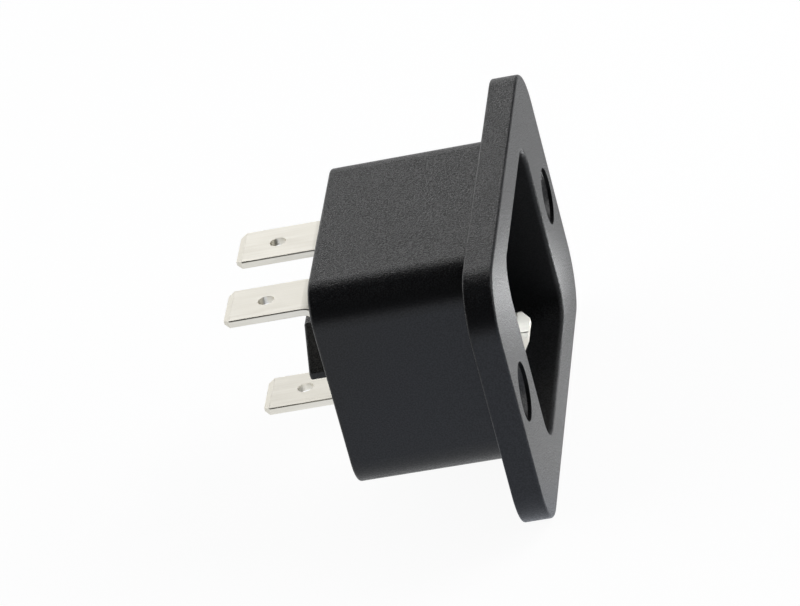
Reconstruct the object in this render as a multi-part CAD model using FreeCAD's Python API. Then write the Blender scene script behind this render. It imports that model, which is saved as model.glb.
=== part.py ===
import FreeCAD, Part
import math
import os
from FreeCAD import Vector

# Panel power inlet held by two screws: one moulded housing and three folded strip contacts.
# Lengths are in millimetres and angles in degrees. The panel face of the flange is the plane Y = 0,
# the connector enters from the -Y side, the tabs point to +Y and the earth contact is the lowest.

# Flange that sits on the front of the panel
flange_width = 50.0
flange_height = 28.3
flange_thickness = 3.0
flange_corner_r = 5.5
flange_front_edge_r = 0.3
flange_rear_edge_r = 0.2

# Countersunk screw holes, one at each end of the flange
screw_spacing = 40.0
screw_hole_d = 3.5
screw_head_d = 6.0
screw_head_sink = 0.4
screw_head_angle = 90.0

# Cavity for the connector, open to the front
cavity_width = 27.4
cavity_height = 20.0
cavity_corner_r = 3.1
cavity_lip_r = 0.5
cavity_foot_r = 0.5

# Shroud that carries the cavity through the panel cut-out
shroud_wall = 1.5
shroud_depth = 17.0
shroud_corner_r = 3.8
shroud_rear_edge_r = 0.3
floor_thickness = 2.5
mould_draft = 0.25

# Barrier that stands on the rear face between the three tabs
barrier_height = 3.7
barrier_top_z = 1.9
barrier_top_width = 4.2
barrier_base_width = 12.1
barrier_flank_angle = 43.0
barrier_foot_height = 0.7
barrier_edge_r = 0.3

# Blades, the front ends of the contacts
blade_width = 8.0
blade_thickness = 2.0
blade_edge_r = 0.6
blade_corner_width = 2.1
blade_corner_length = 1.25
blade_tip_height = 0.6
blade_tip_bevel_length = 1.2
blade_end_sink = 0.7
live_spacing = 13.0
earth_row_z = -5.0
row_spacing = 8.0
earth_tip_sink = 1.7
live_tip_lag = 1.5
slot_clearance = 0.05

# Seam where the strip is folded to make a blade
seam_offset = 0.95
seam_width = 0.2
seam_depth = 0.12

# Tabs, the rear ends of the contacts, for push-on terminals
tab_width = 6.3
tab_thickness = 0.8
tab_reach = 10.05
tab_spacing = 12.1
live_tab_step = 4.0
earth_tab_step = 2.0
live_tab_bend_r = 1.2
earth_tab_bend_r = 0.35
neck_bend_r = 0.25
tab_hole_d = 1.7
tab_hole_from_tip = 4.2
tab_corner_cut = 0.7
tab_tip_bevel_length = 0.6
tab_tip_bevel_depth = 0.2
strip_edge_bevel = 0.1

# How far a cutting shape runs past the face it opens, and how near counts as the same place
cut_margin = 1.0
same_place = 1e-4

# Sizes that follow from the ones above
front_y = -flange_thickness
floor_y = shroud_depth - floor_thickness
shroud_width = cavity_width + 2.0 * shroud_wall
shroud_height = cavity_height + 2.0 * shroud_wall
live_row_z = earth_row_z + row_spacing
earth_tip_y = front_y + earth_tip_sink
live_tip_y = earth_tip_y + live_tip_lag
blade_end_y = shroud_depth - blade_end_sink
foot_y = shroud_depth + tab_thickness / 2.0
tab_tip_y = shroud_depth + tab_reach


def rounded_rectangle(width, height, corner_r, y, centre_x=0.0, centre_z=0.0):
    """Closed wire of a rectangle with round corners in the plane at y."""
    edges = []
    bow = corner_r * math.sqrt(0.5)
    corners = ((1, 1), (-1, 1), (-1, -1), (1, -1))
    for index, (side_x, side_z) in enumerate(corners):
        arc_x = centre_x + side_x * (width / 2.0 - corner_r)
        arc_z = centre_z + side_z * (height / 2.0 - corner_r)
        on_side = Vector(arc_x + side_x * corner_r, y, arc_z)
        middle = Vector(arc_x + side_x * bow, y, arc_z + side_z * bow)
        on_end = Vector(arc_x, y, arc_z + side_z * corner_r)
        first, last = (on_side, on_end) if index % 2 == 0 else (on_end, on_side)
        if edges:
            edges.append(Part.makeLine(edges[-1].Vertexes[-1].Point, first))
        edges.append(Part.Arc(first, middle, last).toShape())
    edges.append(Part.makeLine(edges[-1].Vertexes[-1].Point, edges[0].Vertexes[0].Point))
    return Part.Wire(edges)


def rounded_prism(width, height, corner_r, y_from, y_to, centre_x=0.0, centre_z=0.0):
    """Straight block with round corners between two planes."""
    wire = rounded_rectangle(width, height, corner_r, y_from, centre_x, centre_z)
    return Part.Face(wire).extrude(Vector(0, y_to - y_from, 0))


def drafted_block(width, height, corner_r, y_wide, y_narrow):
    """Block with round corners that narrows by the mould draft from one plane to the other."""
    inset = abs(y_narrow - y_wide) * math.tan(math.radians(mould_draft))
    wide = rounded_rectangle(width, height, corner_r, y_wide)
    narrow = rounded_rectangle(width - 2.0 * inset, height - 2.0 * inset, corner_r - inset, y_narrow)
    return Part.makeLoft([wide, narrow], True, True)


def edges_in_plane(shape, axis, value):
    """Edges of a shape that lie in the plane where one coordinate has a value."""
    found = []
    for edge in shape.Edges:
        box = edge.BoundBox
        low = (box.XMin, box.YMin, box.ZMin)[axis]
        high = (box.XMax, box.YMax, box.ZMax)[axis]
        if abs(low - value) < same_place and abs(high - value) < same_place:
            found.append(edge)
    return found


def plate(points, direction):
    """Polygon through the points, made solid along a direction."""
    return Part.Face(Part.makePolygon(points + points[:1])).extrude(direction)


def screw_hole(x):
    """Countersunk hole through the flange, to be cut away."""
    hole_r = screw_hole_d / 2.0
    head_r = screw_head_d / 2.0
    cone_y = front_y + screw_head_sink
    cone_end_y = cone_y + (head_r - hole_r) / math.tan(math.radians(screw_head_angle / 2.0))
    points = [
        Vector(x, front_y - cut_margin, 0),
        Vector(x + head_r, front_y - cut_margin, 0),
        Vector(x + head_r, cone_y, 0),
        Vector(x + hole_r, cone_end_y, 0),
        Vector(x + hole_r, cut_margin, 0),
        Vector(x, cut_margin, 0),
    ]
    profile = Part.Face(Part.makePolygon(points + points[:1]))
    return profile.revolve(Vector(x, 0, 0), Vector(0, 1, 0), 360)


def blade_slot(x, z):
    """Slot through the cavity floor that a blade passes through."""
    width = blade_width + 2.0 * slot_clearance
    height = blade_thickness + 2.0 * slot_clearance
    corner_r = blade_edge_r + slot_clearance
    return rounded_prism(width, height, corner_r, floor_y - cut_margin, shroud_depth + cut_margin, x, z)


def make_barrier():
    """Barrier on the rear face, narrow between the upper tabs and wide above the earth tab."""
    top = barrier_top_width / 2.0
    base = barrier_base_width / 2.0
    flank_z = barrier_top_z - (base - top) * math.tan(math.radians(barrier_flank_angle))
    foot_z = flank_z - barrier_foot_height
    points = []
    for x, z in ((-top, barrier_top_z), (top, barrier_top_z), (base, flank_z), (base, foot_z),
                 (-base, foot_z), (-base, flank_z)):
        points.append(Vector(x, floor_y + floor_thickness / 2.0, z))
    solid = plate(points, Vector(0, floor_thickness / 2.0 + barrier_height, 0))
    rear_edges = edges_in_plane(solid, 1, shroud_depth + barrier_height)
    return solid.makeFillet(barrier_edge_r, rear_edges)


def make_housing():
    """Moulded housing: flange, shroud, cavity, floor slots, barrier and screw holes."""
    flange = rounded_prism(flange_width, flange_height, flange_corner_r, front_y, 0.0)
    flange = flange.makeFillet(flange_front_edge_r, edges_in_plane(flange, 1, front_y))
    flange = flange.makeFillet(flange_rear_edge_r, edges_in_plane(flange, 1, 0.0))

    shroud = drafted_block(shroud_width, shroud_height, shroud_corner_r, 0.0, shroud_depth)
    shroud = shroud.makeFillet(shroud_rear_edge_r, edges_in_plane(shroud, 1, shroud_depth))

    cavity = drafted_block(cavity_width, cavity_height, cavity_corner_r, front_y, floor_y)
    cavity = cavity.makeFillet(cavity_foot_r, edges_in_plane(cavity, 1, floor_y))

    body = flange.fuse(shroud).cut(cavity)
    mouth = []
    for edge in edges_in_plane(body, 1, front_y):
        middle = edge.CenterOfMass
        inside_x = abs(middle.x) < cavity_width / 2.0 + cavity_lip_r
        inside_z = abs(middle.z) < cavity_height / 2.0 + cavity_lip_r
        if inside_x and inside_z:
            mouth.append(edge)
    body = body.makeFillet(cavity_lip_r, mouth)

    body = body.fuse(make_barrier())
    for side in (-1, 1):
        body = body.cut(screw_hole(side * screw_spacing / 2.0))
        body = body.cut(blade_slot(side * live_spacing / 2.0, live_row_z))
    body = body.cut(blade_slot(0.0, earth_row_z))
    return body.removeSplitter()


def make_blade(x, z, tip_y, seam_x, seam_side):
    """Blade with round long edges, the fold seam along one face and a tip bevelled on the other."""
    section = rounded_prism(blade_width, blade_thickness, blade_edge_r, tip_y, blade_end_y, x, z)

    half = blade_width / 2.0
    low_z = z - blade_thickness
    outline = plate(
        [
            Vector(x - half, blade_end_y, low_z),
            Vector(x - half, tip_y + blade_corner_length, low_z),
            Vector(x - half + blade_corner_width, tip_y, low_z),
            Vector(x + half - blade_corner_width, tip_y, low_z),
            Vector(x + half, tip_y + blade_corner_length, low_z),
            Vector(x + half, blade_end_y, low_z),
        ],
        Vector(0, 0, 2.0 * blade_thickness),
    )

    face_z = z + seam_side * blade_thickness / 2.0
    back_z = z - seam_side * blade_thickness / 2.0
    side_view = plate(
        [
            Vector(x - half, blade_end_y, face_z),
            Vector(x - half, tip_y, face_z),
            Vector(x - half, tip_y, face_z - seam_side * blade_tip_height),
            Vector(x - half, tip_y + blade_tip_bevel_length, back_z),
            Vector(x - half, blade_end_y, back_z),
        ],
        Vector(blade_width, 0, 0),
    )

    seam = plate(
        [
            Vector(seam_x - seam_width / 2.0, tip_y, face_z),
            Vector(seam_x, tip_y, face_z - seam_side * seam_depth),
            Vector(seam_x + seam_width / 2.0, tip_y, face_z),
        ],
        Vector(0, blade_end_y - tip_y, 0),
    )
    return section.common(outline).common(side_view).cut(seam)


def strip_edges(x, start, runs):
    """Upper edges and lower edges of a bent strip in the plane at x.

    A run is (length,) for a straight stretch or (turn, inner radius) for a bend.
    """
    upper = []
    lower = []
    y, z = start
    heading = 0.0
    half = tab_thickness / 2.0

    def beside(along, offset):
        angle = math.radians(along)
        return Vector(x, y - offset * math.sin(angle), z + offset * math.cos(angle))

    for run in runs:
        if len(run) == 1:
            begin = (beside(heading, half), beside(heading, -half))
            y += run[0] * math.cos(math.radians(heading))
            z += run[0] * math.sin(math.radians(heading))
            if run[0] > same_place:
                upper.append(Part.makeLine(begin[0], beside(heading, half)))
                lower.append(Part.makeLine(begin[1], beside(heading, -half)))
            continue
        turn, inner_r = run
        way = math.copysign(1.0, turn)
        centre = beside(heading, way * (inner_r + half))
        for edges, offset in ((upper, half), (lower, -half)):
            radius = inner_r + half - way * offset
            stops = []
            for part_turn in (0.0, turn / 2.0, turn):
                angle = math.radians(heading + part_turn)
                reach = Vector(0, math.sin(angle), -math.cos(angle)).multiply(way * radius)
                stops.append(centre.add(reach))
            edges.append(Part.Arc(*stops).toShape())
        heading += turn
        angle = math.radians(heading)
        y = centre.y + way * (inner_r + half) * math.sin(angle)
        z = centre.z - way * (inner_r + half) * math.cos(angle)
    return upper, lower


def make_tail(x, blade_z, side, step, bend_r):
    """Neck, foot and tab behind a blade: a strip bent outwards on the rear face and back to the rear."""
    half = tab_thickness / 2.0
    spare = step - tab_thickness
    neck_r = min(neck_bend_r, spare / 2.0)
    tab_r = min(bend_r, (spare - neck_r) / 2.0)
    neck_start_y = blade_end_y - tab_thickness
    neck_end_y = foot_y - neck_r - half
    tab_start_y = foot_y + tab_r + half
    foot_run = spare - neck_r - tab_r
    tab_run = tab_tip_y - tab_tip_bevel_length - tab_start_y
    runs = [
        (neck_end_y - neck_start_y,),
        (side * 90.0, neck_r),
        (foot_run,),
        (-side * 90.0, tab_r),
        (tab_run,),
    ]
    left_x = x - tab_width / 2.0
    upper, lower = strip_edges(left_x, (neck_start_y, blade_z), runs)

    tab_z = blade_z + side * step
    tip_half = half - tab_tip_bevel_depth
    tip = [
        upper[-1].Vertexes[-1].Point,
        Vector(left_x, tab_tip_y, tab_z + tip_half),
        Vector(left_x, tab_tip_y, tab_z - tip_half),
        lower[-1].Vertexes[-1].Point,
    ]
    edges = upper + lower
    for first, last in zip(tip, tip[1:]):
        edges.append(Part.makeLine(first, last))
    edges.append(Part.makeLine(upper[0].Vertexes[0].Point, lower[0].Vertexes[0].Point))
    strip = Part.Face(Part.Wire(Part.__sortEdges__(edges))).extrude(Vector(tab_width, 0, 0))
    rims = edges_in_plane(strip, 0, left_x) + edges_in_plane(strip, 0, left_x + tab_width)
    strip = strip.makeChamfer(strip_edge_bevel, rims)

    low_z = min(blade_z, tab_z) - cut_margin
    right_x = left_x + tab_width
    outline = plate(
        [
            Vector(left_x, neck_start_y, low_z),
            Vector(right_x, neck_start_y, low_z),
            Vector(right_x, tab_tip_y - tab_corner_cut, low_z),
            Vector(right_x - tab_corner_cut, tab_tip_y, low_z),
            Vector(left_x + tab_corner_cut, tab_tip_y, low_z),
            Vector(left_x, tab_tip_y - tab_corner_cut, low_z),
        ],
        Vector(0, 0, step + 2.0 * cut_margin),
    )
    hole_start = Vector(x, tab_tip_y - tab_hole_from_tip, tab_z - cut_margin)
    hole = Part.makeCylinder(tab_hole_d / 2.0, 2.0 * cut_margin, hole_start, Vector(0, 0, 1))
    return strip.common(outline).cut(hole)


def make_live_contact(side_x):
    """Line or neutral contact, whose tab lies above its blade."""
    blade_x = side_x * live_spacing / 2.0
    blade = make_blade(blade_x, live_row_z, live_tip_y, blade_x - side_x * seam_offset, -1)
    tail = make_tail(side_x * tab_spacing / 2.0, live_row_z, 1, live_tab_step, live_tab_bend_r)
    return blade.fuse(tail).removeSplitter()


def make_earth_contact():
    """Earth contact, whose tab lies below its blade."""
    blade = make_blade(0.0, earth_row_z, earth_tip_y, -seam_offset, 1)
    tail = make_tail(0.0, earth_row_z, -1, earth_tab_step, earth_tab_bend_r)
    return blade.fuse(tail).removeSplitter()


os.makedirs("parts", exist_ok=True)
make_housing().exportStep("parts/inlet_housing.step")
make_live_contact(1).exportStep("parts/line_contact.step")
make_live_contact(-1).exportStep("parts/neutral_contact.step")
make_earth_contact().exportStep("parts/earth_contact.step")
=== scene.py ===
import logging
import math
from dataclasses import dataclass, field
from enum import Enum
from typing import Any

import bpy
from mathutils import Matrix, Vector


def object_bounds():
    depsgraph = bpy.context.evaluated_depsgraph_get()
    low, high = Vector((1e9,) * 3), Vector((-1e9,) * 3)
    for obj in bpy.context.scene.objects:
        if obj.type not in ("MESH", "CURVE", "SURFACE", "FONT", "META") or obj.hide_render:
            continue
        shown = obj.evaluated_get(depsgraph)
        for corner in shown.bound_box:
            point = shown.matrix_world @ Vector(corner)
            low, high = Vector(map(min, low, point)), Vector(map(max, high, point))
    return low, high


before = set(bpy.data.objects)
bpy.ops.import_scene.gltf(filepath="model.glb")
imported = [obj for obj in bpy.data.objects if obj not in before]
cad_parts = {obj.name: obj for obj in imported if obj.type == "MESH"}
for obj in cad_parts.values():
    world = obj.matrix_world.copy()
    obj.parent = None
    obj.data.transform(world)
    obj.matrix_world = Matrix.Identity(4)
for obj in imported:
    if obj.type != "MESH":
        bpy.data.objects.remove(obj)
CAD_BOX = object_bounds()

LOG = logging.getLogger("panel_inlet")
MM = 0.001
IMAGE_WIDTH_PX = 800
WHITE = (1.0, 1.0, 1.0, 1.0)

# Node settings that are used many times.
SMOOTH = {"interpolation_type": "SMOOTHSTEP"}
FLOATS = {"data_type": "FLOAT"}
COLOURS = {"data_type": "RGBA"}

# A Mix node has a pair of inputs for each data type, all named A and B, so they are told apart by index.
FACTOR = 0
FLOAT_A, FLOAT_B = 2, 3
COLOUR_A, COLOUR_B, COLOUR_RESULT = 6, 7, 2

Socket = bpy.types.NodeSocket


class Slot(Enum):
    """Material slots of the record."""

    HOUSING = "housing_plastic"
    CONTACT = "contact_plate"


class Node(Enum):
    """Pieces of the inlet that come from the solid model."""

    HOUSING = "inlet_housing"
    LINE = "line_contact"
    NEUTRAL = "neutral_contact"
    EARTH = "earth_contact"


CONTACTS = (Node.LINE, Node.NEUTRAL, Node.EARTH)


def linear(hex_colour: str) -> tuple[float, float, float, float]:
    """Turns an sRGB hex colour into linear RGBA.

    Args:
        hex_colour: Colour such as "#1a1b1c".

    Returns:
        Linear red, green, blue and an alpha of one.
    """
    digits = hex_colour.lstrip("#")
    channels = []
    for start in (0, 2, 4):
        value = int(digits[start:start + 2], 16) / 255.0
        # The sRGB curve is straight in its darkest part and a power above it.
        channels.append(value / 12.92 if value <= 0.04045 else ((value + 0.055) / 1.055) ** 2.4)
    return channels[0], channels[1], channels[2], 1.0


def per_metre(size_mm: float) -> float:
    """Gives the texture scale at which one feature is about size_mm across."""
    return 1.0 / (size_mm * MM)


def add_node(tree: bpy.types.NodeTree, kind: str, settings: dict[str, Any] | None = None,
             inputs: dict[Any, Any] | None = None) -> bpy.types.Node:
    """Adds a node to a tree, sets its properties, and fills or links its inputs.

    Args:
        tree: Node tree that gets the node.
        kind: Blender's identifier of the node type.
        settings: Node properties by name.
        inputs: Values, or output sockets to link from, by input name or index.

    Returns:
        The new node.
    """
    node = tree.nodes.new(kind)
    for name, value in (settings or {}).items():
        setattr(node, name, value)
    for key, value in (inputs or {}).items():
        if isinstance(value, Socket):
            tree.links.new(value, node.inputs[key])
        else:
            node.inputs[key].default_value = value
    return node


def new_material(name: str) -> tuple[bpy.types.Material, bpy.types.NodeTree]:
    """Makes an empty node material.

    Args:
        name: Name of the material.

    Returns:
        The material and its node tree, without nodes.
    """
    material = bpy.data.materials.new(name)
    material.use_nodes = True
    material.node_tree.nodes.clear()
    return material, material.node_tree


@dataclass(frozen=True)
class SparkTexturedPlastic:
    """Black glass-filled nylon, moulded in a spark-eroded tool.

    The tool leaves fine pits, so the face is a satin black with a pale speckle where it faces the light.
    Handling has rubbed the rounded edges a little smoother and paler. The core that forms the cavity is
    blasted, so the faces inside the lip have less relief and are duller. The real pits are about 0.05 mm
    wide, too fine to show, so they are drawn coarser.
    """

    name: str = "spark_textured_black_nylon"
    pit_colour: str = "#060608"
    face_colour: str = "#0e1116"
    rubbed_colour: str = "#1d1e22"
    ior: float = 1.5
    roughness_low: float = 0.28
    roughness_high: float = 0.42
    rubbed_roughness: float = 0.28
    gloss_in_pits: float = 0.32
    gloss_on_peaks: float = 0.56
    grain_mm: float = 0.15
    grain_depth_mm: float = 0.08
    grain_detail: float = 1.0
    grain_band: tuple[float, float] = (0.36, 0.64)
    level_of_worn_grain: float = 0.5
    end_facing: tuple[float, float] = (0.6, 0.95)
    end_relief: float = 0.35
    edge_lean_start: tuple[float, float] = (0.05, 0.4)
    edge_lean_end: tuple[float, float] = (0.9, 0.998)
    patch_mm: float = 1.6
    patch_detail: float = 3.0
    patch_band: tuple[float, float] = (0.35, 0.65)
    rubbed_share: float = 0.7
    core_half_mm: tuple[float, float, float] = (14.0, 15.0, 10.3)
    core_fade: tuple[float, float] = (0.98, 1.02)
    core_front_mm: tuple[float, float] = (-2.98, -2.88)
    core_relief: float = 0.2
    core_roughness: float = 0.6

    def kept_grain(self, tree: bpy.types.NodeTree, facing_x: Socket) -> Socket:
        """Says how much of the grain is left. The short ends are where the part is held, so they are worn.

        Args:
            tree: Node tree of the material.
            facing_x: X of the surface normal.

        Returns:
            One, falling to end_relief on the short ends.
        """
        sideways = add_node(tree, "ShaderNodeMath", {"operation": "ABSOLUTE"}, {0: facing_x})
        return add_node(tree, "ShaderNodeMapRange", SMOOTH, {
            "Value": sideways.outputs[0], "From Min": self.end_facing[0], "From Max": self.end_facing[1],
            "To Min": 1.0, "To Max": self.end_relief}).outputs[0]

    def rubbed_edges(self, tree: bpy.types.NodeTree, place: Socket, facing_y: Socket) -> Socket:
        """Finds the rubbed patches of the rounded edges.

        A rounded edge runs round the part's Y axis, so only there does the normal lean part way to Y.

        Args:
            tree: Node tree of the material.
            place: Object coordinates.
            facing_y: Y of the surface normal.

        Returns:
            Zero on flat faces, rising to rubbed_share on a rubbed edge.
        """
        lean = add_node(tree, "ShaderNodeMath", {"operation": "ABSOLUTE"}, {0: facing_y}).outputs[0]
        rising = add_node(tree, "ShaderNodeMapRange", SMOOTH, {
            "Value": lean, "From Min": self.edge_lean_start[0], "From Max": self.edge_lean_start[1]})
        falling = add_node(tree, "ShaderNodeMapRange", SMOOTH, {
            "Value": lean, "From Min": self.edge_lean_end[0], "From Max": self.edge_lean_end[1],
            "To Min": 1.0, "To Max": 0.0})
        edge = add_node(tree, "ShaderNodeMath", {"operation": "MULTIPLY"}, {
            0: rising.outputs[0], 1: falling.outputs[0]})
        patches = add_node(tree, "ShaderNodeTexNoise", None, {
            "Vector": place, "Scale": per_metre(self.patch_mm), "Detail": self.patch_detail})
        touched = add_node(tree, "ShaderNodeMapRange", SMOOTH, {
            "Value": patches.outputs["Fac"], "From Min": self.patch_band[0], "From Max": self.patch_band[1],
            "To Max": self.rubbed_share})
        return add_node(tree, "ShaderNodeMath", {"operation": "MULTIPLY"}, {
            0: edge.outputs[0], 1: touched.outputs[0]}).outputs[0]

    def core_faces(self, tree: bpy.types.NodeTree, place: Socket) -> Socket:
        """Marks the faces that the core forms, from the lip to the cavity floor.

        They lie in a box round the origin that no outer face enters, behind the front of the flange.

        Args:
            tree: Node tree of the material.
            place: Object coordinates.

        Returns:
            One on the core's faces and zero elsewhere.
        """
        reach = add_node(tree, "ShaderNodeVectorMath", {"operation": "ABSOLUTE"}, {0: place})
        shares = add_node(tree, "ShaderNodeVectorMath", {"operation": "DIVIDE"}, {
            0: reach.outputs[0], 1: tuple(half * MM for half in self.core_half_mm)})
        axes = add_node(tree, "ShaderNodeSeparateXYZ", None, {0: shares.outputs[0]}).outputs
        widest = add_node(tree, "ShaderNodeMath", {"operation": "MAXIMUM"}, {0: axes["X"], 1: axes["Z"]})
        farthest = add_node(tree, "ShaderNodeMath", {"operation": "MAXIMUM"}, {
            0: widest.outputs[0], 1: axes["Y"]})
        boxed = add_node(tree, "ShaderNodeMapRange", None, {
            "Value": farthest.outputs[0], "From Min": self.core_fade[0], "From Max": self.core_fade[1],
            "To Min": 1.0, "To Max": 0.0})
        depth = add_node(tree, "ShaderNodeSeparateXYZ", None, {0: place}).outputs["Y"]
        behind = add_node(tree, "ShaderNodeMapRange", None, {
            "Value": depth, "From Min": self.core_front_mm[0] * MM, "From Max": self.core_front_mm[1] * MM})
        return add_node(tree, "ShaderNodeMath", {"operation": "MULTIPLY"}, {
            0: boxed.outputs[0], 1: behind.outputs[0]}).outputs[0]

    def colour(self, tree: bpy.types.NodeTree, level: Socket, rubbed: Socket) -> Socket:
        """Colours the pits darkest and the rubbed edges palest.

        Args:
            tree: Node tree of the material.
            level: Level of the grain, from zero in a pit to one.
            rubbed: Share of rubbing.

        Returns:
            The colour.
        """
        grained = add_node(tree, "ShaderNodeMix", COLOURS, {
            FACTOR: level, COLOUR_A: linear(self.pit_colour), COLOUR_B: linear(self.face_colour)})
        return add_node(tree, "ShaderNodeMix", COLOURS, {
            FACTOR: rubbed, COLOUR_A: grained.outputs[COLOUR_RESULT],
            COLOUR_B: linear(self.rubbed_colour)}).outputs[COLOUR_RESULT]

    def roughness(self, tree: bpy.types.NodeTree, level: Socket, rubbed: Socket, core: Socket) -> Socket:
        """Makes the pits rougher, the rubbed edges smoother and the core's faces roughest.

        Args:
            tree: Node tree of the material.
            level: Level of the grain, from zero in a pit to one.
            rubbed: Share of rubbing.
            core: One on the core's faces.

        Returns:
            The roughness.
        """
        grained = add_node(tree, "ShaderNodeMapRange", None, {
            "Value": level, "To Min": self.roughness_high, "To Max": self.roughness_low})
        worn = add_node(tree, "ShaderNodeMix", FLOATS, {
            FACTOR: rubbed, FLOAT_A: grained.outputs[0], FLOAT_B: self.rubbed_roughness})
        return add_node(tree, "ShaderNodeMix", FLOATS, {
            FACTOR: core, FLOAT_A: worn.outputs[0], FLOAT_B: self.core_roughness}).outputs[0]

    def relief(self, tree: bpy.types.NodeTree, kept: Socket, rubbed: Socket, core: Socket) -> Socket:
        """Lowers the grain's relief on the short ends, the rubbed edges and the core's faces.

        Args:
            tree: Node tree of the material.
            kept: Share of the grain that is left.
            rubbed: Share of rubbing.
            core: One on the core's faces.

        Returns:
            The strength of the grain's bump.
        """
        blasted = add_node(tree, "ShaderNodeMapRange", None, {
            "Value": core, "To Min": 1.0, "To Max": self.core_relief})
        moulded = add_node(tree, "ShaderNodeMath", {"operation": "MULTIPLY"}, {
            0: kept, 1: blasted.outputs[0]})
        unrubbed = add_node(tree, "ShaderNodeMath", {"operation": "SUBTRACT"}, {0: 1.0, 1: rubbed})
        return add_node(tree, "ShaderNodeMath", {"operation": "MULTIPLY"}, {
            0: unrubbed.outputs[0], 1: moulded.outputs[0]}).outputs[0]

    def build(self) -> bpy.types.Material:
        """Builds the material.

        Returns:
            The node material.
        """
        material, tree = new_material(self.name)
        coordinates = add_node(tree, "ShaderNodeTexCoord").outputs
        place = coordinates["Object"]
        facing = add_node(tree, "ShaderNodeSeparateXYZ", None, {0: coordinates["Normal"]}).outputs
        kept = self.kept_grain(tree, facing["X"])
        rubbed = self.rubbed_edges(tree, place, facing["Y"])
        core = self.core_faces(tree, place)
        grain = add_node(tree, "ShaderNodeTexNoise", None, {
            "Vector": place, "Scale": per_metre(self.grain_mm), "Detail": self.grain_detail}).outputs["Fac"]
        sharp = add_node(tree, "ShaderNodeMapRange", SMOOTH, {
            "Value": grain, "From Min": self.grain_band[0], "From Max": self.grain_band[1]})
        level = add_node(tree, "ShaderNodeMix", FLOATS, {
            FACTOR: kept, FLOAT_A: self.level_of_worn_grain, FLOAT_B: sharp.outputs[0]}).outputs[0]
        gloss = add_node(tree, "ShaderNodeMapRange", None, {
            "Value": level, "To Min": self.gloss_in_pits, "To Max": self.gloss_on_peaks})
        bump = add_node(tree, "ShaderNodeBump", None, {
            "Height": grain, "Strength": self.relief(tree, kept, rubbed, core),
            "Distance": self.grain_depth_mm * MM})
        shader = add_node(tree, "ShaderNodeBsdfPrincipled", None, {
            "Base Color": self.colour(tree, level, rubbed),
            "Roughness": self.roughness(tree, level, rubbed, core),
            "Normal": bump.outputs[0], "IOR": self.ior, "Specular IOR Level": gloss.outputs[0]})
        add_node(tree, "ShaderNodeOutputMaterial", None, {"Surface": shader.outputs[0]})
        return material


@dataclass(frozen=True)
class NickelPlate:
    """Satin nickel plating on rolled brass strip.

    It is a bright, nearly white metal with faint lines along the rolling direction. The tips of the tabs
    are coined to a bevel, which leaves them more matt than the strip. The real lines are a few hundredths
    of a millimetre wide, too fine to show, so they are drawn coarser.
    """

    name: str = "satin_nickel_on_brass"
    bright_colour: str = "#faf7ee"
    dull_colour: str = "#f2eee2"
    roughness_low: float = 0.33
    roughness_high: float = 0.41
    tip_mm: tuple[float, float] = (26.35, 26.5)
    tip_roughness: float = 0.52
    line_width_mm: float = 0.25
    line_length_mm: float = 5.0
    line_depth_mm: float = 0.001
    line_strength: float = 0.05
    line_detail: float = 3.0
    line_band: tuple[float, float] = (0.3, 0.7)

    def rolling_lines(self, tree: bpy.types.NodeTree, place: Socket) -> Socket:
        """Draws the lines that rolling leaves along the strip.

        Args:
            tree: Node tree of the material.
            place: Object coordinates.

        Returns:
            A noise from zero to one that is stretched along Y.
        """
        across = per_metre(self.line_width_mm)
        along = per_metre(self.line_length_mm)
        stretched = add_node(tree, "ShaderNodeMapping", None, {
            "Vector": place, "Scale": (across, along, across)})
        return add_node(tree, "ShaderNodeTexNoise", None, {
            "Vector": stretched.outputs[0], "Scale": 1.0, "Detail": self.line_detail}).outputs["Fac"]

    def roughness(self, tree: bpy.types.NodeTree, place: Socket, lines: Socket) -> Socket:
        """Varies the roughness with the rolling lines and raises it on the coined tips.

        Args:
            tree: Node tree of the material.
            place: Object coordinates.
            lines: The rolling lines.

        Returns:
            The roughness.
        """
        rolled = add_node(tree, "ShaderNodeMapRange", None, {
            "Value": lines, "From Min": self.line_band[0], "From Max": self.line_band[1],
            "To Min": self.roughness_high, "To Max": self.roughness_low})
        along_strip = add_node(tree, "ShaderNodeSeparateXYZ", None, {0: place}).outputs["Y"]
        coined = add_node(tree, "ShaderNodeMapRange", None, {
            "Value": along_strip, "From Min": self.tip_mm[0] * MM, "From Max": self.tip_mm[1] * MM})
        return add_node(tree, "ShaderNodeMix", FLOATS, {
            FACTOR: coined.outputs[0], FLOAT_A: rolled.outputs[0], FLOAT_B: self.tip_roughness}).outputs[0]

    def build(self) -> bpy.types.Material:
        """Builds the material.

        Returns:
            The node material.
        """
        material, tree = new_material(self.name)
        place = add_node(tree, "ShaderNodeTexCoord").outputs["Object"]
        lines = self.rolling_lines(tree, place)
        colour = add_node(tree, "ShaderNodeMix", COLOURS, {
            FACTOR: lines, COLOUR_A: linear(self.dull_colour), COLOUR_B: linear(self.bright_colour)})
        bump = add_node(tree, "ShaderNodeBump", None, {
            "Height": lines, "Strength": self.line_strength, "Distance": self.line_depth_mm * MM})
        shader = add_node(tree, "ShaderNodeBsdfPrincipled", None, {
            "Base Color": colour.outputs[COLOUR_RESULT], "Metallic": 1.0,
            "Roughness": self.roughness(tree, place, lines), "Normal": bump.outputs[0]})
        add_node(tree, "ShaderNodeOutputMaterial", None, {"Surface": shader.outputs[0]})
        return material


@dataclass(frozen=True)
class PaintedLightPatch:
    """A round painted highlight on the paper, which only reflections see brighter, most of all at its
    centre.
    """

    x_mm: float
    y_mm: float
    reach_mm: float
    gain: float


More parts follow.
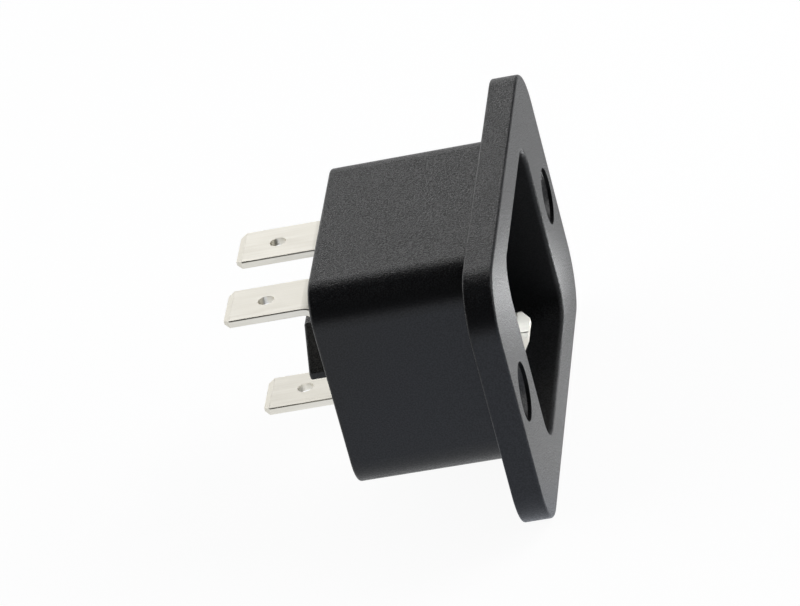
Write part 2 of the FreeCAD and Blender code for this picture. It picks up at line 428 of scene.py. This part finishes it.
@dataclass(frozen=True)
class WhitePaper:
    """Matt white background paper that the camera and reflections see as white.

    In reflections alone it is a little dimmer, and it carries painted light and shade there: a painted
    bluish reflection beside the near end of the inlet, a painted shade close in front of it, and painted
    highlights beside that.
    """

    name: str = "white_background_paper"
    colour: str = "#f4f6f8"
    camera_glow: float = 0.85
    camera_level: float = 1.1
    # Colours of the paper in reflections alone; the near one paints a bluish reflection on the inlet's near
    # end.
    painted_blue_reflection_colour: str = "#e5ebf8"
    far_colour: str = "#e9eaeb"
    fade_mm: tuple[float, float] = (-30.0, -10.0)
    behind_mm: tuple[float, float] = (22.0, 26.0)
    # A painted shade that reflections alone see, close in front of the inlet.
    painted_shade_mm: tuple[float, float] = (-1.0, -18.0)
    painted_shade_edge_mm: tuple[float, float] = (3.0, 6.0)
    painted_shade_level: float = 0.1
    # Painted highlights: places on the paper that reflections alone see brighter, which light up the
    # flange's front.
    patches: tuple[PaintedLightPatch, ...] = (
        PaintedLightPatch(x_mm=27.5, y_mm=-14.0, reach_mm=6.5, gain=18.0),
        PaintedLightPatch(x_mm=0.0, y_mm=-5.0, reach_mm=45.0, gain=0.3))

    def painted_reflection_tint(self, tree: bpy.types.NodeTree, x: Socket, y: Socket) -> Socket:
        """Paints a bluish reflection: what reflections see is bluer at the near end, but not behind the
        housing.

        Args:
            tree: Node tree of the material.
            x: X of the place on the paper.
            y: Y of the place on the paper.

        Returns:
            The colour.
        """
        fade = add_node(tree, "ShaderNodeMapRange", SMOOTH, {
            "Value": x, "From Min": self.fade_mm[0] * MM, "From Max": self.fade_mm[1] * MM})
        behind = add_node(tree, "ShaderNodeMapRange", SMOOTH, {
            "Value": y, "From Min": self.behind_mm[0] * MM, "From Max": self.behind_mm[1] * MM})
        plain = add_node(tree, "ShaderNodeMath", {"operation": "MAXIMUM"}, {
            0: fade.outputs[0], 1: behind.outputs[0]})
        return add_node(tree, "ShaderNodeMix", COLOURS, {
            FACTOR: plain.outputs[0], COLOUR_A: linear(self.painted_blue_reflection_colour),
            COLOUR_B: linear(self.far_colour)}).outputs[COLOUR_RESULT]

    def reflected_level(self, tree: bpy.types.NodeTree, x: Socket, y: Socket) -> Socket:
        """Gives the brightness that reflections see: the painted shade, then the painted highlight patches
        on top of it.

        Args:
            tree: Node tree of the material.
            x: X of the place on the paper.
            y: Y of the place on the paper.

        Returns:
            The brightness, where one is white.
        """
        place = add_node(tree, "ShaderNodeCombineXYZ", None, {0: x, 1: y}).outputs[0]
        # Painted shade: the paper is darker in reflections round this place.
        away = add_node(tree, "ShaderNodeVectorMath", {"operation": "DISTANCE"}, {
            0: place, 1: (self.painted_shade_mm[0] * MM, self.painted_shade_mm[1] * MM, 0.0)})
        level = add_node(tree, "ShaderNodeMapRange", SMOOTH, {
            "Value": away.outputs["Value"], "From Min": self.painted_shade_edge_mm[0] * MM,
            "From Max": self.painted_shade_edge_mm[1] * MM, "To Min": self.painted_shade_level})
        # Each painted highlight multiplies the brightness near its centre.
        for patch in self.patches:
            beside = add_node(tree, "ShaderNodeVectorMath", {"operation": "DISTANCE"}, {
                0: place, 1: (patch.x_mm * MM, patch.y_mm * MM, 0.0)})
            lift = add_node(tree, "ShaderNodeMapRange", SMOOTH, {
                "Value": beside.outputs["Value"], "From Max": patch.reach_mm * MM,
                "To Min": 1.0 + patch.gain, "To Max": 1.0})
            level = add_node(tree, "ShaderNodeMath", {"operation": "MULTIPLY"}, {
                0: level.outputs[0], 1: lift.outputs[0]})
        return level.outputs[0]

    def build(self) -> bpy.types.Material:
        """Builds the material. What the camera and reflections see glows, and the rest is plain paper.

        Returns:
            The node material.
        """
        material, tree = new_material(self.name)
        path = add_node(tree, "ShaderNodeLightPath").outputs
        place = add_node(tree, "ShaderNodeTexCoord").outputs["Object"]
        axes = add_node(tree, "ShaderNodeSeparateXYZ", None, {0: place}).outputs
        seen_directly = path["Is Camera Ray"]
        mirrored = add_node(tree, "ShaderNodeMath", {"operation": "MAXIMUM"}, {
            0: path["Is Glossy Ray"], 1: path["Is Transmission Ray"]})
        share = add_node(tree, "ShaderNodeMath", {"operation": "MULTIPLY_ADD"}, {
            0: seen_directly, 1: self.camera_glow, 2: mirrored.outputs[0]})
        level = add_node(tree, "ShaderNodeMix", FLOATS, {
            FACTOR: seen_directly, FLOAT_A: self.reflected_level(tree, axes["X"], axes["Y"]),
            FLOAT_B: self.camera_level})
        shown = add_node(tree, "ShaderNodeMix", COLOURS, {
            FACTOR: seen_directly, COLOUR_A: self.painted_reflection_tint(tree, axes["X"], axes["Y"]),
            COLOUR_B: WHITE})
        paper = add_node(tree, "ShaderNodeBsdfDiffuse", None, {"Color": linear(self.colour)})
        glow = add_node(tree, "ShaderNodeEmission", None, {
            "Color": shown.outputs[COLOUR_RESULT], "Strength": level.outputs[0]})
        both = add_node(tree, "ShaderNodeMixShader", None, {
            0: share.outputs[0], 1: paper.outputs[0], 2: glow.outputs[0]})
        add_node(tree, "ShaderNodeOutputMaterial", None, {"Surface": both.outputs[0]})
        return material


def dress_node(node: Node, material: bpy.types.Material) -> bpy.types.Object:
    """Puts a material on a piece of the solid model.

    Args:
        node: Piece to dress.
        material: Its material.

    Returns:
        The dressed piece.
    """
    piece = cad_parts[node.value]
    piece.data.materials.clear()
    piece.data.materials.append(material)
    return piece


@dataclass
class Housing:
    """The moulded housing."""

    finish: SparkTexturedPlastic = field(default_factory=SparkTexturedPlastic)

    def dress(self) -> list[bpy.types.Object]:
        """Gives the moulding its finish and returns it in a list."""
        return [dress_node(Node.HOUSING, self.finish.build())]


@dataclass
class Contacts:
    """The three folded strip contacts."""

    finish: NickelPlate = field(default_factory=NickelPlate)

    def dress(self) -> list[bpy.types.Object]:
        """Gives each contact the plating and returns the contacts."""
        plating = self.finish.build()
        return [dress_node(node, plating) for node in CONTACTS]


def add_to_scene(name: str, data: bpy.types.ID) -> bpy.types.Object:
    """Makes an object and puts it in the scene.

    Args:
        name: Name of the object.
        data: Its mesh, lamp or camera.

    Returns:
        The new object.
    """
    thing = bpy.data.objects.new(name, data)
    bpy.context.scene.collection.objects.link(thing)
    return thing


def facing_back(place: Vector, way: Vector) -> Matrix:
    """Gives the matrix of a lamp at a place that stands out along a way and shines back along it."""
    return Matrix.Translation(place) @ way.to_track_quat("Z", "Y").to_matrix().to_4x4()


@dataclass
class Table:
    """White table under the lowest point of the inlet."""

    size_mm: float = 6000.0
    paper: WhitePaper = field(default_factory=WhitePaper)

    def build(self) -> None:
        """Lays the table."""
        half = self.size_mm * MM / 2.0
        top = CAD_BOX[0][2]
        corners = [(-half, -half, top), (half, -half, top), (half, half, top), (-half, half, top)]
        mesh = bpy.data.meshes.new("table")
        mesh.from_pydata(corners, [], [(0, 1, 2, 3)])
        mesh.materials.append(self.paper.build())
        table = add_to_scene("table", mesh)


@dataclass
class WhiteTent:
    """Surrounding light: white walls with a gap, a dim ceiling and a dim camera side."""

    wall_level: float = 2.5
    horizon_level: float = 0.3
    dark_level: float = 0.06
    horizon_rise: tuple[float, float] = (0.1, 0.3)
    ceiling_fall: tuple[float, float] = (0.32, 0.58)
    camera_side: tuple[float, float] = (0.35, 0.75)
    gap_way: tuple[float, float, float] = (0.86, -0.48, 0.16)
    gap_edge: tuple[float, float] = (0.86, 0.94)

    def walls(self, tree: bpy.types.NodeTree, way: Socket) -> Socket:
        """Makes the walls bright between the horizon and the ceiling.

        Args:
            tree: Node tree of the world.
            way: Direction that is looked in.

        Returns:
            The brightness.
        """
        height = add_node(tree, "ShaderNodeSeparateXYZ", None, {0: way}).outputs["Z"]
        ceiling = add_node(tree, "ShaderNodeMapRange", SMOOTH, {
            "Value": height, "From Min": self.ceiling_fall[0], "From Max": self.ceiling_fall[1],
            "To Min": self.wall_level, "To Max": self.dark_level})
        horizon = add_node(tree, "ShaderNodeMapRange", SMOOTH, {
            "Value": height, "From Min": self.horizon_rise[0], "From Max": self.horizon_rise[1],
            "To Min": self.horizon_level, "To Max": self.wall_level})
        return add_node(tree, "ShaderNodeMath", {"operation": "MINIMUM"}, {
            0: ceiling.outputs[0], 1: horizon.outputs[0]}).outputs[0]

    def dim_zone(self, tree: bpy.types.NodeTree, way: Socket, centre: Vector,
                 edge: tuple[float, float]) -> Socket:
        """Makes a round dim zone.

        Args:
            tree: Node tree of the world.
            way: Direction that is looked in.
            centre: Direction of the zone's centre.
            edge: Cosines, to the centre, of where the zone starts and where it is darkest.

        Returns:
            The brightness, which is the walls' own outside the zone.
        """
        nearness = add_node(tree, "ShaderNodeVectorMath", {"operation": "DOT_PRODUCT"}, {
            0: way, 1: centre.normalized()})
        return add_node(tree, "ShaderNodeMapRange", SMOOTH, {
            "Value": nearness.outputs["Value"], "From Min": edge[0], "From Max": edge[1],
            "To Min": self.wall_level, "To Max": self.dark_level}).outputs[0]

    def build(self, to_camera: Vector) -> None:
        """Makes the tent the scene's world. The camera itself sees it at least white.

        Args:
            to_camera: Direction from the inlet to the photograph's camera.
        """
        world = bpy.data.worlds.new("white_tent")
        bpy.context.scene.world = world
        world.use_nodes = True
        tree = world.node_tree
        tree.nodes.clear()
        way = add_node(tree, "ShaderNodeTexCoord").outputs["Generated"]
        camera_side = self.dim_zone(tree, way, to_camera, self.camera_side)
        gap = self.dim_zone(tree, way, Vector(self.gap_way), self.gap_edge)
        zones = add_node(tree, "ShaderNodeMath", {"operation": "MINIMUM"}, {0: camera_side, 1: gap})
        level = add_node(tree, "ShaderNodeMath", {"operation": "MINIMUM"}, {
            0: self.walls(tree, way), 1: zones.outputs[0]})
        seen_directly = add_node(tree, "ShaderNodeLightPath").outputs["Is Camera Ray"]
        strength = add_node(tree, "ShaderNodeMath", {"operation": "MAXIMUM"}, {
            0: level.outputs[0], 1: seen_directly})
        light = add_node(tree, "ShaderNodeBackground", None, {
            "Color": WHITE, "Strength": strength.outputs[0]})
        add_node(tree, "ShaderNodeOutputWorld", None, {"Surface": light.outputs[0]})


@dataclass
class Softbox:
    """A softbox in front of the inlet, above it, that lights the blades in the cavity."""

    place_mm: tuple[float, float, float] = (210.0, -370.0, 420.0)
    size_mm: float = 350.0
    watts: float = 0.8

    def build(self) -> None:
        """Hangs the softbox, turned to the inlet."""
        data = bpy.data.lights.new("front_softbox", "AREA")
        data.shape = "SQUARE"
        data.size = self.size_mm * MM
        data.energy = self.watts
        place = Vector(self.place_mm) * MM
        lamp = add_to_scene("front_softbox", data)
        lamp.matrix_world = facing_back(place, place)


@dataclass
class BladeSpot:
    """A narrow spot through the mouth of the cavity, which the contacts alone receive."""

    target_mm: tuple[float, float, float] = (0.0, -0.4, -4.0)
    way: tuple[float, float, float] = (0.55, -0.215, 1.0)
    distance_mm: float = 400.0
    reach_mm: float = 4.2
    radius_mm: float = 4.0
    blend: float = 0.3
    watts: float = 14.5
    colour: str = "#f6faff"

    def build(self) -> None:
        """Aims the spot at the blades."""
        data = bpy.data.lights.new("blade_spot", "SPOT")
        data.spot_size = 2.0 * math.atan(self.reach_mm / self.distance_mm)
        data.spot_blend = self.blend
        data.shadow_soft_size = self.radius_mm * MM
        data.energy = self.watts
        data.color = linear(self.colour)[:3]
        way = Vector(self.way).normalized()
        place = (Vector(self.target_mm) + way * self.distance_mm) * MM
        lamp = add_to_scene("blade_spot", data)
        lamp.matrix_world = facing_back(place, way)
        receivers = bpy.data.collections.new("blade_spot_receivers")
        for node in CONTACTS:
            receivers.objects.link(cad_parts[node.value])
        lamp.light_linking.receiver_collection = receivers


@dataclass
class PhotoCamera:
    """The camera, where the photograph was taken."""

    place_mm: tuple[float, float, float] = (-476.0, -90.22, 258.35)
    right: tuple[float, float, float] = (0.07917, -0.96886, -0.23463)
    up: tuple[float, float, float] = (0.49571, -0.16594, 0.85249)
    focal_px: float = 5420.8
    sensor_mm: float = 36.0
    clip_m: tuple[float, float] = (0.01, 20.0)

    def build(self) -> None:
        """Sets up the camera and makes it the scene's."""
        data = bpy.data.cameras.new("photo_camera")
        data.sensor_fit = "HORIZONTAL"
        data.sensor_width = self.sensor_mm
        data.lens = self.focal_px * self.sensor_mm / IMAGE_WIDTH_PX
        data.clip_start, data.clip_end = self.clip_m
        right = Vector(self.right).normalized()
        up = Vector(self.up).normalized()
        turn = Matrix((right, up, right.cross(up))).transposed()
        camera = add_to_scene("photo_camera", data)
        camera.matrix_world = Matrix.Translation(Vector(self.place_mm) * MM) @ turn.to_4x4()
        bpy.context.scene.camera = camera


@dataclass
class Studio:
    """White table, soft surrounding light, two lamps and the camera of the photograph."""

    table: Table = field(default_factory=Table)
    tent: WhiteTent = field(default_factory=WhiteTent)
    softbox: Softbox = field(default_factory=Softbox)
    spot: BladeSpot = field(default_factory=BladeSpot)
    camera: PhotoCamera = field(default_factory=PhotoCamera)

    def build(self) -> None:
        """Builds the whole studio."""
        bpy.context.scene.view_settings.view_transform = "Standard"
        self.table.build()
        self.tent.build(Vector(self.camera.place_mm))
        self.softbox.build()
        self.spot.build()
        self.camera.build()


def main() -> None:
    """Dresses the inlet, reports each piece and sets up the studio."""
    logging.basicConfig(level=logging.INFO)
    for assembly in (Housing(), Contacts()):
        for piece in assembly.dress():
            LOG.info("dressed %s with %s", piece.name, piece.active_material.name)
    Studio().build()


if __name__ == "__main__":
    main()
